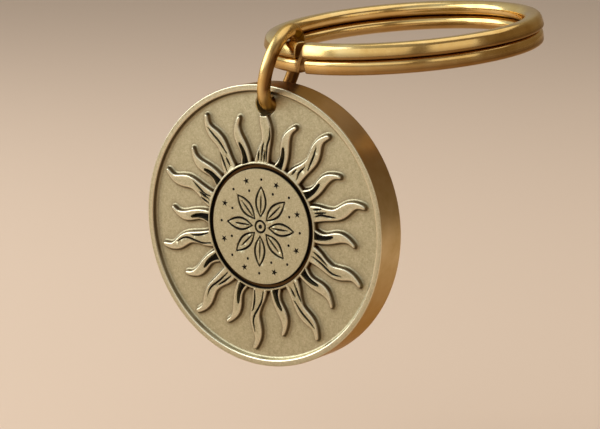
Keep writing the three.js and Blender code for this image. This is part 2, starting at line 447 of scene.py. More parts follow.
def face(points):
    """Depth below the rim, its slope, and distances to the ink, the groove's floor and the relief."""
    r, away = radial(points)
    s, g = raised_distance(points)
    w, slope = relief_depth(s)
    gradient = slope[:, None] * g
    groove_s = np.abs(r - GROOVE_MIDDLE) - GROOVE_FLOOR_HALF
    groove_g = np.sign(r - GROOVE_MIDDLE)[:, None] * away
    gap_s, gap_g = folded_distance(points, folded_gaps)
    line_s, line_g = line_distance(points)
    inked = np.minimum(np.minimum(gap_s, line_s), signed(points, spots)[0])
    for cut_s, cut_g, depth, wall in (
        (groove_s, groove_g, GROOVE_DEPTH, GROOVE_WALL),
        (gap_s, gap_g, PIT_DEPTH, PIT_WALL),
        (line_s, line_g, LINE_DEPTH, LINE_WALL),
    ):
        cut, cut_slope = cut_depth(cut_s, depth, wall)
        deeper = cut > w
        w = np.where(deeper, cut, w)
        gradient = np.where(deeper[:, None], cut_slope[:, None] * cut_g, gradient)
    hole_r, hole_away = radial(points, HOLE_PLACE)
    t = np.clip((HOLE_RADIUS + HOLE_ROUND - hole_r) / HOLE_ROUND, 0, HOLE_LEAN_LIMIT)
    w = w + HOLE_ROUND * (1 - np.sqrt(1 - t * t))
    gradient = gradient - (t / np.sqrt(1 - t * t))[:, None] * hole_away
    return w, gradient, inked, groove_s, s


# Mesh of the face
points = []
edges = []


def add_line(line, closed=False, keep=None):
    """Adds a line that the mesh has to follow. keep says which of its points count."""
    start = sum(len(p) for p in points)
    keep = np.ones(len(line), bool) if keep is None else keep
    number = np.cumsum(keep) - 1 + start
    points.append(line[keep])
    following = np.roll(np.arange(len(line)), -1)
    last = len(line) if closed else len(line) - 1
    for i in range(last):
        j = following[i]
        if keep[i] and keep[j]:
            edges.append((int(number[i]), int(number[j])))


def offset_line(line, amount, closed):
    """A line beside another: positive amounts lie to its left."""
    if closed:
        ahead = np.roll(line, -1, axis=0) - np.roll(line, 1, axis=0)
    else:
        ahead = np.gradient(line, axis=0)
    ahead = ahead / np.maximum(np.linalg.norm(ahead, axis=1), TINY)[:, None]
    return line + amount * np.column_stack([-ahead[:, 1], ahead[:, 0]])


RIM_STEPS = 360
HOLE_STEPS = 96
ARC_SHARES = [0, 0.3, 0.57, 0.8, 1]
HOLE_RING_SHARES = [1, 0.75, 0.5, 0.25, 0.08]
GROOVE_RING_SHARES = [0, 0.3, 0.5, 0.7, 1]
BESIDE_TOLERANCE = 0.012
LINE_FROM_HOLE = 0.02
LINE_FROM_GROOVE = 0.03
PIT_KEEP_SHARE = 0.9
HOLE_INSIDE_SHARE = 0.999
MERGE_DISTANCE = 1e-5
steps_across = [share * TOP_ARC - TOP_ARC for share in ARC_SHARES]
steps_across += [FILLET - share * FOOT_ARC for share in ARC_SHARES[::-1]]
steps_across += [FADE]


def clear_of_hole(line, clearance):
    return radial(line, HOLE_PLACE)[0] > HOLE_RADIUS + clearance


add_line(circle(EDGE_RADIUS, RIM_STEPS), True)
for s in steps_across:
    ring = circle(RIM_WALL_RADIUS - s, RIM_STEPS)
    add_line(ring, True, clear_of_hole(ring, LINE_FROM_HOLE))
for share in HOLE_RING_SHARES:
    add_line(circle(HOLE_RADIUS + share * HOLE_ROUND, HOLE_STEPS, HOLE_PLACE), True)
hole_line = circle(HOLE_RADIUS, HOLE_STEPS, HOLE_PLACE)
add_line(hole_line, True)

for s in steps_across:
    ring = circle(COLLAR_RADIUS + s, RIM_STEPS)
    add_line(ring, True, np.abs(raised_distance(ring)[0] - s) < BESIDE_TOLERANCE)
    for ray in long_rays + short_rays:
        beside = offset_line(ray, s, False)
        keep = np.abs(raised_distance(beside)[0] - s) < BESIDE_TOLERANCE
        keep &= clear_of_hole(beside, LINE_FROM_HOLE)
        keep &= radial(beside)[0] > GROOVE_OUTER + LINE_FROM_GROOVE
        add_line(beside, False, keep)
for share in GROOVE_RING_SHARES:
    for side in (-1, 1):
        ring_radius = GROOVE_MIDDLE + side * (GROOVE_FLOOR_HALF + share * GROOVE_WALL)
        add_line(circle(ring_radius, 2 * RIM_STEPS), True)
for gap in gaps:
    add_line(gap, True)
    for amount in (PIT_WALL, -PIT_WALL, PIT_WALL / 2, -PIT_WALL / 2):
        beside = offset_line(gap, amount, True)
        keep = folded_distance(beside, folded_gaps)[0] > abs(amount) * PIT_KEEP_SHARE
        add_line(beside, True, keep)
for line, half in lines:
    ahead = np.gradient(line, axis=0)
    ahead = ahead / np.linalg.norm(ahead, axis=1)[:, None]
    side = np.column_stack([-ahead[:, 1], ahead[:, 0]])
    for grow in (0, LINE_WALL / 2, LINE_WALL):
        width = half[:, None] + grow
        add_line(np.vstack([line + side * width, (line - side * width)[::-1]]), True)
for spot in spots:
    add_line(spot, True)

# Loose points keep the triangles on the plain ground even in size
GRID_STEP = 0.42
GRID_ROW_SHARE = 0.866
GRID_MORE_ROWS = 6
GRID_MORE_COLUMNS = 2
GRID_FROM_RELIEF = 0.15
GRID_FROM_EDGE = 0.2
GRID_FROM_GROOVE = 0.5
GRID_FROM_HOLE = 0.4
GRID_FROM_LINE = 0.1
rows = int(DISC_RADIUS / GRID_STEP) + GRID_MORE_ROWS
columns = int(DISC_RADIUS / GRID_STEP) + GRID_MORE_COLUMNS
grid = np.array(
    [
        ((i + 0.5 * (j % 2)) * GRID_STEP, j * GRID_STEP * GRID_ROW_SHARE)
        for j in range(-rows, rows + 1)
        for i in range(-columns, columns + 1)
    ]
)
ground = raised_distance(grid)[0]
grid = grid[(ground < -TOP_ARC - GRID_FROM_RELIEF) | (ground > FADE + GRID_FROM_RELIEF)]
from_middle = radial(grid)[0]
grid = grid[
    (from_middle > 0)
    & (from_middle < EDGE_RADIUS - GRID_FROM_EDGE)
    & (np.abs(from_middle - GROOVE_MIDDLE) > GRID_FROM_GROOVE)
    & clear_of_hole(grid, GRID_FROM_HOLE)
    & (line_distance(grid)[0] > GRID_FROM_LINE)
]
points.append(grid)


def triangulated(points, edges, hole_edge):
    """Triangles that keep to the edges and leave the hole open, all listed the same way round."""
    found = delaunay_2d_cdt([Vector(p) for p in points], edges, [], 0, MERGE_DISTANCE, False)
    verts = np.array([tuple(v) for v in found[0]])
    faces = np.array([f for f in found[2] if len(f) == 3])
    faces = faces[radial(verts[faces].mean(1), HOLE_PLACE)[0] > hole_edge]
    a, b, c = verts[faces[:, 0]], verts[faces[:, 1]], verts[faces[:, 2]]
    area = (b[:, 0] - a[:, 0]) * (c[:, 1] - a[:, 1]) - (b[:, 1] - a[:, 1]) * (c[:, 0] - a[:, 0])
    faces[area < 0] = faces[area < 0][:, ::-1]
    return verts, faces


verts, faces = triangulated(np.vstack(points), edges, HOLE_RADIUS * HOLE_INSIDE_SHARE)
depth, slope, inked, groove, ground = face(verts)
front_normals = np.column_stack([slope[:, 0], -np.ones(len(verts)), slope[:, 1]])
front_normals /= np.linalg.norm(front_normals, axis=1)[:, None]

low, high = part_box("medallion")
centre = (np.array(low) + np.array(high)) / 2 / MM
front_y = centre[1] - DISC_THICKNESS / 2
front = np.column_stack([centre[0] + verts[:, 0], front_y + depth, centre[2] + verts[:, 1]])

# Where a point's normal leans from its face by more than this, the face's own counts
NORMAL_LIMIT = math.cos(math.radians(32))


class MeshParts:
    """Points, normals, marks and faces of a mesh that is put together from parts."""

    def __init__(self):
        self.points = []
        self.normals = []
        self.wear_and_highlight = []
        self.patina_and_shade = []
        self.faces = []
        self.slots = []

    def add(self, points, normals, faces, slots, wear_and_highlight=None, patina_and_shade=None):
        base = sum(len(c) for c in self.points)
        zero = np.zeros(len(points))
        self.points.append(np.array(points, float))
        self.normals.append(np.array(normals, float))
        self.wear_and_highlight.append(zero if wear_and_highlight is None else wear_and_highlight)
        self.patina_and_shade.append(zero if patina_and_shade is None else patina_and_shade)
        self.faces.extend([tuple(int(i) + base for i in f) for f in faces])
        self.slots.extend([int(s) for s in slots])

    def corner_normals(self, mesh):
        """The given normals, but a face's own where the given one leans too far from it."""
        corners = np.zeros(len(mesh.loops), int)
        mesh.loops.foreach_get("vertex_index", corners)
        flat_normals = np.zeros(3 * len(mesh.polygons))
        mesh.polygons.foreach_get("normal", flat_normals)
        sizes = np.zeros(len(mesh.polygons), int)
        mesh.polygons.foreach_get("loop_total", sizes)
        own = np.repeat(flat_normals.reshape(-1, 3), sizes, axis=0)
        given = np.vstack(self.normals)[corners]
        close = (own * given).sum(1) > NORMAL_LIMIT
        return np.where(close[:, None], given, own)

    def build(self, name, materials):
        mesh = bpy.data.meshes.new(name)
        points = np.vstack(self.points) * MM
        mesh.from_pydata(points.tolist(), [], self.faces)
        for material in materials:
            mesh.materials.append(material)
        mesh.polygons.foreach_set("material_index", self.slots)
        mesh.polygons.foreach_set("use_smooth", [True] * len(self.faces))
        for mark, values in (("wear_and_highlight", self.wear_and_highlight), ("patina_and_shade", self.patina_and_shade)):
            layer = mesh.attributes.new(mark, "FLOAT", "POINT")
            layer.data.foreach_set("value", np.concatenate(values).astype(np.float32))
        mesh.update()
        mesh.normals_split_custom_set(self.corner_normals(mesh).tolist())
        piece = bpy.data.objects.new(name, mesh)
        bpy.context.scene.collection.objects.link(piece)
        return piece


def strip_faces(rows, columns):
    """Quads between rows of points that each close on themselves, each row as long."""
    made = []
    for i in range(rows - 1):
        for j in range(columns):
            k = (j + 1) % columns
            made.append((i * columns + j, i * columns + k, (i + 1) * columns + k, (i + 1) * columns + j))
    return made


# Materials
def material(name):
    made = bpy.data.materials.new(name)
    made.use_nodes = True
    nodes = made.node_tree.nodes
    return made, nodes, made.node_tree.links, nodes["Principled BSDF"]


def noise(nodes, links, vector, scale, detail=3.0, roughness=0.55):
    made = nodes.new("ShaderNodeTexNoise")
    made.inputs["Scale"].default_value = scale
    made.inputs["Detail"].default_value = detail
    made.inputs["Roughness"].default_value = roughness
    links.new(vector, made.inputs["Vector"])
    return made.outputs["Fac"]


def ramp(nodes, links, value, stops):
    made = nodes.new("ShaderNodeValToRGB")
    made.color_ramp.elements[0].position = stops[0][0]
    made.color_ramp.elements[0].color = (*stops[0][1], 1)
    made.color_ramp.elements[1].position = stops[-1][0]
    made.color_ramp.elements[1].color = (*stops[-1][1], 1)
    for position, colour in stops[1:-1]:
        made.color_ramp.elements.new(position).color = (*colour, 1)
    links.new(value, made.inputs["Fac"])
    return made.outputs["Color"]


def mix(nodes, links, factor, a, b):
    made = nodes.new("ShaderNodeMix")
    made.data_type = "RGBA"
    for socket, value in ((made.inputs[0], factor), (made.inputs[6], a), (made.inputs[7], b)):
        if isinstance(value, (int, float)):
            socket.default_value = value
        elif isinstance(value, tuple):
            socket.default_value = (*value, 1)
        else:
            links.new(value, socket)
    return made.outputs[2]


def spread(nodes, links, value, low, high, source=(0, 1)):
    """Maps a value between the source's ends onto low to high."""
    made = nodes.new("ShaderNodeMapRange")
    made.inputs["From Min"].default_value = source[0]
    made.inputs["From Max"].default_value = source[1]
    made.inputs["To Min"].default_value = low
    made.inputs["To Max"].default_value = high
    links.new(value, made.inputs["Value"])
    return made.outputs["Result"]


def bump(nodes, links, height, strength, distance, normal=None):
    made = nodes.new("ShaderNodeBump")
    made.inputs["Strength"].default_value = strength
    made.inputs["Distance"].default_value = distance
    links.new(height, made.inputs["Height"])
    if normal is not None:
        links.new(normal, made.inputs["Normal"])
    return made.outputs["Normal"]


def mark(nodes, name):
    made = nodes.new("ShaderNodeAttribute")
    made.attribute_name = name
    return made.outputs["Fac"]


SATIN = (0.465, 0.417, 0.262)
SATIN_PALE = (0.62, 0.565, 0.385)
SATIN_DEEP = (0.33, 0.29, 0.17)
# Browns for the face's hollows: partly patina, partly painted shade; the near black is painted shade
PATINA_AND_SHADE_BROWN = (0.085, 0.044, 0.015)
PAINTED_DEEP_SHADE = (0.018, 0.011, 0.007)
GOLD = (0.73, 0.5, 0.19)
GOLD_PALE = (0.8, 0.6, 0.27)
GOLD_DEEP = (0.6, 0.38, 0.12)
# Brown and near black of the wires' painted shade, and its roughness
WIRE_SHADE_BROWN = (0.2, 0.085, 0.02)
WIRE_SHADE_ROUGHNESS = (0.34, 0.34, 0.34)
WIRE_DEEP_SHADE = (0.06, 0.024, 0.007)
DRAWN_GLANCE = (0.85, 0.64, 0.38, 1)
BRIGHT_GLANCE = (0.97, 0.88, 0.7, 1)
EDGE_GLANCE = (0.8, 0.6, 0.36, 1)
# Brown of a painted reflection on the edge
EDGE_BROWN = (0.28, 0.125, 0.04)
EDGE_DEEP = (0.56, 0.42, 0.21)
EDGE_TONE = (0.62, 0.48, 0.26)
EDGE_PALE = (0.68, 0.54, 0.31)
# Pale colour of the edges: partly wear, partly a painted highlight
WEAR_AND_HIGHLIGHT = (0.86, 0.79, 0.58)
INK = (0.006, 0.0045, 0.0035)
INK_DUST = (0.016, 0.012, 0.008)
GRAIN_SHARE = 0.55
PATINA_AND_SHADE_END = 0.6
WIRE_DEEP_SHADE_START = 0.85
SATIN_ROUGHNESS = 0.42
WEAR_HIGHLIGHT_ROUGHNESS = 0.2
EDGE_ROUGHNESS = 0.3
INK_ROUGHNESS = 0.6
INK_SHINE = 0.05
DRAWN_ROUGHNESS = 0.27
DRAWN_GRAIN = 0.3
BRIGHT_ROUGHNESS = 0.16
BRIGHT_GRAIN = 0.1
ROUGHER = 0.06
SMOOTHER = 0.05
TURNED_STRETCH = (0.04, 1, 0.04)
THIN_BUMP = 0.01 * MM
FINE_BUMP = 0.02 * MM
SOFT_BUMP = 0.03 * MM


def satin_brass():
    """Finely blasted brass: a dull sparkle, paler edges that are partly wear and partly a painted highlight,
    and brown in the recesses that is partly patina and partly painted shade.
    """
    made, nodes, links, shader = material("satin_brass")
    place = nodes.new("ShaderNodeTexCoord").outputs["Object"]
    grain = noise(nodes, links, place, scale=7500, detail=2.0, roughness=0.7)
    mottle = noise(nodes, links, place, scale=3200, detail=4.0, roughness=0.7)
    cloud = noise(nodes, links, place, scale=160)
    stops = [(0.3, SATIN_DEEP), (0.5, SATIN), (0.7, SATIN_PALE)]
    coarse_tone = ramp(nodes, links, mottle, stops)
    fine_tone = ramp(nodes, links, grain, stops)
    tone = mix(nodes, links, GRAIN_SHARE, coarse_tone, fine_tone)
    tone = mix(nodes, links, spread(nodes, links, cloud, low=0, high=0.2), tone, SATIN)
    # Paler along the marked edges: partly wear, partly a painted highlight
    tone = mix(nodes, links, mark(nodes, "wear_and_highlight"), tone, WEAR_AND_HIGHLIGHT)
    patina_and_shade = mark(nodes, "patina_and_shade")
    # Browner, then near black, where marked: patina in the groove and on the walls, painted shade beside the
    # relief and between the rays
    tone = mix(nodes, links, spread(nodes, links, patina_and_shade, 0, 1, (0, PATINA_AND_SHADE_END)), tone, PATINA_AND_SHADE_BROWN)
    tone = mix(nodes, links, spread(nodes, links, patina_and_shade, 0, 1, (PATINA_AND_SHADE_END, 1)), tone, PAINTED_DEEP_SHADE)
    links.new(tone, shader.inputs["Base Color"])
    shader.inputs["Metallic"].default_value = 1.0
    rough = nodes.new("ShaderNodeMix")
    rough.inputs[2].default_value = SATIN_ROUGHNESS
    rough.inputs[3].default_value = WEAR_HIGHLIGHT_ROUGHNESS
    links.new(mark(nodes, "wear_and_highlight"), rough.inputs[0])
    links.new(rough.outputs[0], shader.inputs["Roughness"])
    normal = bump(nodes, links, grain, strength=0.5, distance=FINE_BUMP)
    normal = bump(nodes, links, mottle, strength=0.3, distance=SOFT_BUMP, normal=normal)
    links.new(normal, shader.inputs["Normal"])
    return made


def edge_brass():
    """Turned brass with fine lines running round the edge, and a painted brown reflection on it."""
    made, nodes, links, shader = material("turned_brass")
    place = nodes.new("ShaderNodeTexCoord").outputs["Object"]
    stretch = nodes.new("ShaderNodeMapping")
    stretch.inputs["Scale"].default_value = TURNED_STRETCH
    links.new(place, stretch.inputs["Vector"])
    lines_round = noise(nodes, links, stretch.outputs["Vector"], scale=9000)
    mottle = noise(nodes, links, place, scale=500, detail=4.0, roughness=0.6)
    tone = ramp(nodes, links, mottle, [(0.3, EDGE_DEEP), (0.5, EDGE_TONE), (0.7, EDGE_PALE)])
    # Painted reflection: browner where marked, towards the top and bottom of the edge
    tone = mix(nodes, links, mark(nodes, "patina_and_shade"), tone, EDGE_BROWN)
    links.new(tone, shader.inputs["Base Color"])
    shader.inputs["Metallic"].default_value = 1.0
    shader.inputs["Specular Tint"].default_value = EDGE_GLANCE
    shader.inputs["Roughness"].default_value = EDGE_ROUGHNESS
    links.new(bump(nodes, links, lines_round, strength=0.2, distance=FINE_BUMP), shader.inputs["Normal"])
    return made


def polished_brass(name, roughness, grain, glance):
    """Bright drawn wire with painted shade, small dents and fine grain."""
    made, nodes, links, shader = material(name)
    place = nodes.new("ShaderNodeTexCoord").outputs["Object"]
    cloud = noise(nodes, links, place, scale=260, detail=4.0, roughness=0.6)
    dents = noise(nodes, links, place, scale=900)
    fine = noise(nodes, links, place, scale=6000, detail=2.0)
    tone = ramp(nodes, links, cloud, [(0.32, GOLD_DEEP), (0.5, GOLD), (0.7, GOLD_PALE)])
    # Painted shade: browner, then near black, where the wire is marked
    tone = mix(nodes, links, mark(nodes, "patina_and_shade"), tone, WIRE_SHADE_BROWN)
    deep = spread(nodes, links, mark(nodes, "patina_and_shade"), 0, 1, (WIRE_DEEP_SHADE_START, 1))
    tone = mix(nodes, links, deep, tone, WIRE_DEEP_SHADE)
    links.new(tone, shader.inputs["Base Color"])
    shader.inputs["Metallic"].default_value = 1.0
    shader.inputs["Specular Tint"].default_value = glance
    smooth = spread(nodes, links, cloud, roughness - SMOOTHER, roughness + ROUGHER)
    rough = mix(nodes, links, mark(nodes, "patina_and_shade"), smooth, WIRE_SHADE_ROUGHNESS)
    links.new(rough, shader.inputs["Roughness"])
    normal = bump(nodes, links, dents, strength=0.12, distance=SOFT_BUMP)
    normal = bump(nodes, links, fine, strength=grain, distance=THIN_BUMP, normal=normal)
    links.new(normal, shader.inputs["Normal"])
    return made


def ink():
    """Dark enamel in the engraved lines."""
    made, nodes, links, shader = material("dark_fill")
    place = nodes.new("ShaderNodeTexCoord").outputs["Object"]
    grain = noise(nodes, links, place, scale=5000)
    tone = ramp(nodes, links, grain, [(0.3, INK), (0.75, INK_DUST)])
    links.new(tone, shader.inputs["Base Color"])
    shader.inputs["Roughness"].default_value = INK_ROUGHNESS
    shader.inputs["Specular IOR Level"].default_value = INK_SHINE
    links.new(bump(nodes, links, grain, strength=0.3, distance=FINE_BUMP), shader.inputs["Normal"])
    return made


SATIN_SLOT, EDGE_SLOT, INK_SLOT = range(3)
satin = satin_brass()
edge = edge_brass()
dark = ink()

# Marks on the face: paler along the edges of the relief, partly wear and partly a painted highlight; dark at
# its foot as patina on the walls and a painted shadow beyond them, near the boss as painted shade, and in
# the groove as patina
WEAR_HIGHLIGHT_WIDTH = 0.09
WEAR_HIGHLIGHT_SHARE = 0.8
WEAR_HIGHLIGHT_FROM_INK = 0.02
BOSS_WEAR_HIGHLIGHT_SHARE = 0.35
BOSS_WEAR_HIGHLIGHT_REACH = 0.12
WALL_DARK_WIDTH = 0.11
WALL_DARK_SHARE = 0.6
SOFT_DARK_SHARE = 0.3
SOFT_DARK_REACH = 0.16
RIM_DARK_SIDE = (-0.82, 0.57)
RIM_DARK_REACH = 0.7
RIM_DARK_START = 0.25
RIM_DARK_GAIN = 1.1
VALLEY_REACH = 0.8
VALLEY_FROM = 0.02
VALLEY_RISE = 0.06
VALLEY_SHARE = 0.5
CHANNEL_SHARE = 0.62
CHANNEL_WALL_SHARE = 0.5
INK_WALL_SHARE = 0.72
disc = MeshParts()
_, _, middle_ink, middle_groove, _ = face(verts[faces].mean(1))
groove_wall = (middle_groove > 0) & (middle_groove < GROOVE_WALL * INK_WALL_SHARE)
slots = np.where((middle_ink < 0) | groove_wall, INK_SLOT, SATIN_SLOT)
from_middle = radial(verts)[0]
# A paler band along the relief's top edges, weaker at the boss: partly wear, partly a painted highlight
wear_and_highlight = WEAR_HIGHLIGHT_SHARE * np.exp(-(((ground + TOP_ARC / 2) / WEAR_HIGHLIGHT_WIDTH) ** 2)) * (inked > WEAR_HIGHLIGHT_FROM_INK)
wear_and_highlight *= np.where(from_middle < COLLAR_RADIUS + BOSS_WEAR_HIGHLIGHT_REACH, BOSS_WEAR_HIGHLIGHT_SHARE, 1)
# Painted shade near the rim: full on its upper left, none at the lower right; away from the rim the share is
# 1
rim_side = verts @ np.array(RIM_DARK_SIDE) / np.maximum(from_middle, TINY)
rim_share = np.clip(RIM_DARK_START + RIM_DARK_GAIN * rim_side, 0, 1)
rim_share = np.where(from_middle > RIM_WALL_RADIUS - RIM_DARK_REACH, rim_share, 1)
# Darker in the middle of each wall: patina, with painted shade on the rim's upper left
wall_dark = rim_share * np.exp(-(((ground - STRAIGHT / 2) / WALL_DARK_WIDTH) ** 2))
# A painted shadow on the ground just beyond the relief's foot, fading outward
soft_dark = rim_share * np.exp(-np.clip(ground - FILLET, 0, None) / SOFT_DARK_REACH) * (ground > 0)
walls = WALL_DARK_SHARE * np.maximum(wall_dark, SOFT_DARK_SHARE * soft_dark)
# Painted shade between the rays, strongest at the collar and fading outward
valley = np.exp(-np.maximum(from_middle - COLLAR_RADIUS, 0) / VALLEY_REACH)
valley *= np.clip((ground - VALLEY_FROM) / VALLEY_RISE, 0, 1)
valley *= VALLEY_SHARE + (1 - VALLEY_SHARE) * wall_dark
channel = CHANNEL_SHARE * np.clip(1 - groove / (GROOVE_WALL * CHANNEL_WALL_SHARE), 0, 1)
patina_and_shade = np.clip(np.maximum(np.maximum(walls, valley), channel), 0, 1)
disc.add(front, front_normals, faces, slots, wear_and_highlight, patina_and_shade)


def ring_rows(profile, steps, height):
    """Points and normals of circles round that height, from the radius, depth and lean of each."""
    unit = circle(1, steps)
    flat = np.ones(steps)
    points = []
    normals = []
    for radius, depth, lean in profile:
        across, up = radius * unit.T
        points.append(np.column_stack([centre[0] + across, front_y + depth * flat, centre[2] + height + up]))
        across, up = math.sin(lean) * unit.T
        normals.append(np.column_stack([across, -math.cos(lean) * flat, up]))
    return np.vstack(points), np.vstack(normals)


# The edge: two rounded corners and the wall between them
CORNER_STEPS = 8
SATIN_CORNER_ROWS = 5
CORNER_WEAR_HIGHLIGHT_POWER = 3
# Where and how strongly the edge's painted brown reflection lies
EDGE_PLAIN_HEIGHT = 0.05
EDGE_PLAIN_REACH = 0.55
EDGE_REFLECTION_SHARE = 0.8
EDGE_REFLECTION_POWER = 4
quarter = [math.pi / 2 * i / CORNER_STEPS for i in range(CORNER_STEPS + 1)]
profile = [(EDGE_RADIUS + EDGE_ROUND * math.sin(q), EDGE_ROUND * (1 - math.cos(q)), q) for q in quarter]
profile += [(DISC_RADIUS, DISC_THICKNESS / 2, math.pi / 2)]
profile += [
    (
        EDGE_RADIUS + EDGE_ROUND * math.cos(q),
        DISC_THICKNESS - EDGE_ROUND * (1 - math.sin(q)),
        math.pi / 2 + q,
    )
    for q in quarter
]
edge_points, edge_normals = ring_rows(profile, RIM_STEPS, 0)
edge_faces = strip_faces(len(profile), RIM_STEPS)
last_row = len(profile) - 1 - SATIN_CORNER_ROWS
edge_slots = [
    EDGE_SLOT if SATIN_CORNER_ROWS <= f[0] // RIM_STEPS <= last_row else SATIN_SLOT for f in edge_faces
]
edge_height = circle(1, RIM_STEPS)[:, 1]
# Painted brown reflection on the edge: none near mid height, more towards the top and bottom, and most on
# the straight wall
edge_dark = EDGE_REFLECTION_SHARE * (1 - np.exp(-(((edge_height - EDGE_PLAIN_HEIGHT) / EDGE_PLAIN_REACH) ** 2)))
edge_wear_highlight = []
edge_painted_reflection = []
for _, _, lean in profile:
    # Paler on the edge's rounded corners: partly wear, partly a painted highlight
    corner = math.exp(-CORNER_WEAR_HIGHLIGHT_POWER * (math.sin(2 * lean) ** 2 - 1) ** 2)
    edge_wear_highlight.append(np.full(RIM_STEPS, WEAR_HIGHLIGHT_SHARE * corner))
    edge_painted_reflection.append(edge_dark * math.sin(lean) ** EDGE_REFLECTION_POWER)
disc.add(
    edge_points,
    edge_normals,
    edge_faces,
    edge_slots,
    np.concatenate(edge_wear_highlight),
    np.concatenate(edge_painted_reflection),
)

# The hole's wall
HOLE_ROW_DEPTH = 1.2
hole_rows = [(HOLE_RADIUS, face(hole_line)[0], -math.pi / 2)]
hole_rows += [(HOLE_RADIUS, HOLE_ROW_DEPTH, -math.pi / 2)]
hole_rows += [
    (
        HOLE_RADIUS + HOLE_BACK_ROUND * (1 - math.cos(q)),
        DISC_THICKNESS - HOLE_BACK_ROUND * (1 - math.sin(q)),
        -math.pi / 2 - q,
    )
    for q in quarter
]
hole_points, hole_normals = ring_rows(hole_rows, HOLE_STEPS, HOLE_CENTRE)
hole_faces = [f[::-1] for f in strip_faces(len(hole_rows), HOLE_STEPS)]
disc.add(hole_points, hole_normals, hole_faces, [SATIN_SLOT] * len(hole_faces))

# The plain back
BACK_INSIDE_SHARE = 0.95
back_hole = circle(HOLE_RADIUS + HOLE_BACK_ROUND, HOLE_STEPS, HOLE_PLACE)
back_points = np.vstack([circle(EDGE_RADIUS, RIM_STEPS), back_hole])
back_edges = [(i, (i + 1) % RIM_STEPS) for i in range(RIM_STEPS)]
back_edges += [(RIM_STEPS + i, RIM_STEPS + (i + 1) % HOLE_STEPS) for i in range(HOLE_STEPS)]
back, back_faces = triangulated(back_points, back_edges, HOLE_RADIUS + HOLE_BACK_ROUND * BACK_INSIDE_SHARE)
back_y = np.full(len(back), front_y + DISC_THICKNESS)
back_places = np.column_stack([centre[0] + back[:, 0], back_y, centre[2] + back[:, 1]])
back_normals = np.tile([0, 1, 0], (len(back), 1))
disc.add(back_places, back_normals, back_faces[:, ::-1], [SATIN_SLOT] * len(back_faces))
medallion = disc.build("sun_medallion", [satin, edge, dark])
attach(medallion, "medallion")
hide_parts("medallion")


def wire_piece(name, brass, points, normals, sides, ways, turn, place, painted_shade, end_shade, flip):
    """A wire from rows of points round its section, closed by a flat cap at each end."""
    rotation = np.array(turn)
    points = points @ rotation.T + np.array(place)
    rows = len(points) // sides
    faces = [f[::-1] if flip else f for f in strip_faces(rows, sides)]
    wire = MeshParts()
    # The wire and its caps carry their painted shade as a mark
    wire.add(points, normals @ rotation.T, faces, [0] * len(faces), None, painted_shade)
    for row, way in zip((0, rows - 1), ways):
        order = range(sides)[::-1] if flip == (row > 0) else range(sides)
        cap = points[row * sides : (row + 1) * sides]
        cap_normals = np.tile(way @ rotation.T, (sides, 1))
        wire.add(cap, cap_normals, [order], [0], None, np.full(sides, end_shade))
    return wire.build(name, [brass])


# The jump ring: rows round the wire at turns round the ring, narrowing to the seam's rounded ends
jump_mean = (JUMP_DIAMETER - JUMP_WIRE) / 2
half_gap = JUMP_SEAM_GAP / jump_mean / 2
round_turn = JUMP_SEAM_ROUND / jump_mean
first = JUMP_SEAM + half_gap + round_turn
final = JUMP_SEAM + FULL_TURN - half_gap - round_turn
round_rows = [
    (round_turn * (1 - math.cos(math.pi / 2 * t)), JUMP_SEAM_ROUND * (1 - math.sin(math.pi / 2 * t)))
    for t in JUMP_ROUND_SHARES
]
stations = [(JUMP_SEAM + half_gap + along, narrow, -1) for along, narrow in round_rows]
stations += [(first + (final - first) * i / JUMP_STEPS, 0.0, 1) for i in range(1, JUMP_STEPS)]
stations += [(JUMP_SEAM + FULL_TURN - half_gap - along, narrow, 1) for along, narrow in round_rows[::-1]]

# Its painted shade: inside the ring, beyond the seam, under the arch and down the near leg's right side
INNER_START = 0.1
INNER_GAIN = 1.2
INNER_SHARE = 0.85
RIGHT_START = 0.15
RIGHT_GAIN = 1.6
UNDER_START = 0.45
UNDER_FADE = 0.3
ARCH_END = math.radians(92)
LEG_TOP = 0.75
LEG_TOP_FADE = 0.3
LEG_FOOT = -0.75
LEG_FOOT_FADE = 0.35
LEG_FOOT_LEAST = 0.6
LEG_SHARE = 0.92
# Painted shade on the wire's cut ends
JUMP_END_DARK = 1.0
side_angle = np.arange(JUMP_SIDES) * FULL_TURN / JUMP_SIDES
outward = np.cos(side_angle)
leftward = np.sin(side_angle)
inner_side = np.clip(INNER_START - INNER_GAIN * outward, 0, 1)
right_side = np.clip(RIGHT_START - RIGHT_GAIN * leftward, 0, 1)
under_side = np.clip((UNDER_START - outward) / UNDER_FADE, 0, 1)
ring_points = []
ring_normals = []
painted_shade = []
for turn, narrow, end in stations:
    away = math.cos(turn)
    up = math.sin(turn)
    out = np.array([0, away, up])
    ahead = np.array([0, -up, away])
    across = np.array([-1.0, 0, 0])
    spoke = outward[:, None] * out + leftward[:, None] * across
    lean = end * math.asin(min(1.0, narrow / JUMP_SEAM_ROUND))
    ring_points.append(jump_mean * out + (JUMP_WIRE / 2 - narrow) * spoke)
    ring_normals.append(math.cos(lean) * spoke + math.sin(lean) * ahead)
    past_seam = float(away > math.cos(JUMP_SEAM))
    on_arch = float(away > math.cos(ARCH_END) and up > 0)
    leg_top = np.clip((LEG_TOP - up) / LEG_TOP_FADE, 0, 1)
    leg_foot = np.clip((up - LEG_FOOT) / LEG_FOOT_FADE, LEG_FOOT_LEAST, 1)
    near_leg = LEG_SHARE * leg_top * leg_foot * (away < 0)
    right_dark = right_side * np.maximum(max(past_seam, near_leg), on_arch * under_side)
    # Painted shade: inside the ring, and on its right side beyond the seam, under the arch and down the near
    # leg
    painted_shade.append(np.maximum(INNER_SHARE * inner_side, right_dark))
ways = [np.array([0, -math.sin(turn), math.cos(turn)]) * end for turn, _, end in (stations[0], stations[-1])]
jump_turn = Matrix.Rotation(JUMP_YAW, 3, "Z") @ Matrix.Rotation(JUMP_TILT, 3, "Y")
low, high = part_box("jump_ring")
